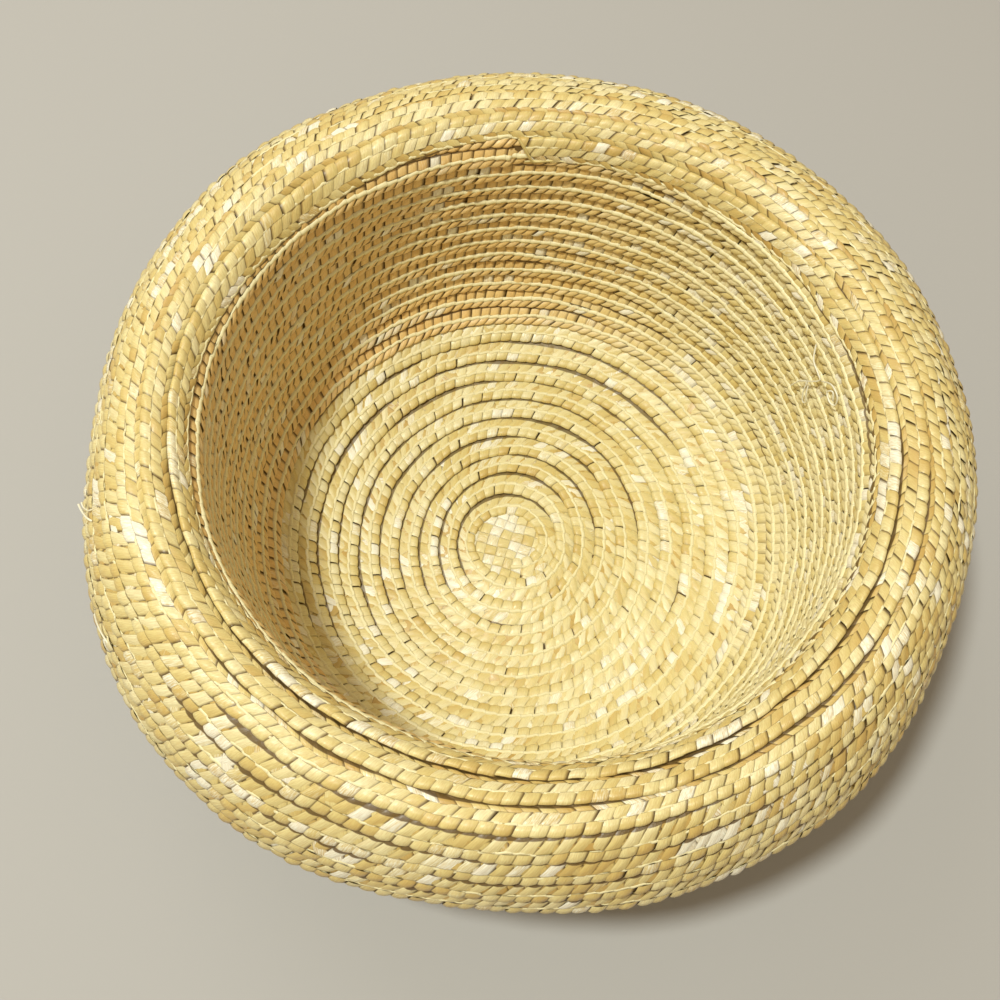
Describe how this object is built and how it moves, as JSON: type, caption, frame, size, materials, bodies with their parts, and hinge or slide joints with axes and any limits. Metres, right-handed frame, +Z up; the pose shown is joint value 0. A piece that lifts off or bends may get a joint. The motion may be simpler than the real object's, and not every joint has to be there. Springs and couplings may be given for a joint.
{
  "type": "straw hat",
  "caption": "Hat sewn from flat straw plait in rows, with a low rounded crown and a brim that rolls over and down; it lies crown down with the opening up.",
  "frame": {"origin": "middle of the bounding box, at the flat patch of the crown that the hat lies on", "axes": "+Z up out of the opening, from the crown's tip to the brim; +Y to the far side in the picture, +X to its right"},
  "size_m": [0.2492, 0.2492, 0.0978],
  "materials": {
    "crown_straw": "plaited straw, satin",
    "brim_straw": "plaited straw, satin"
  },
  "bodies": {
    "root": {"crown": "crown_straw", "brim": "brim_straw"}
  },
  "joints": []
}
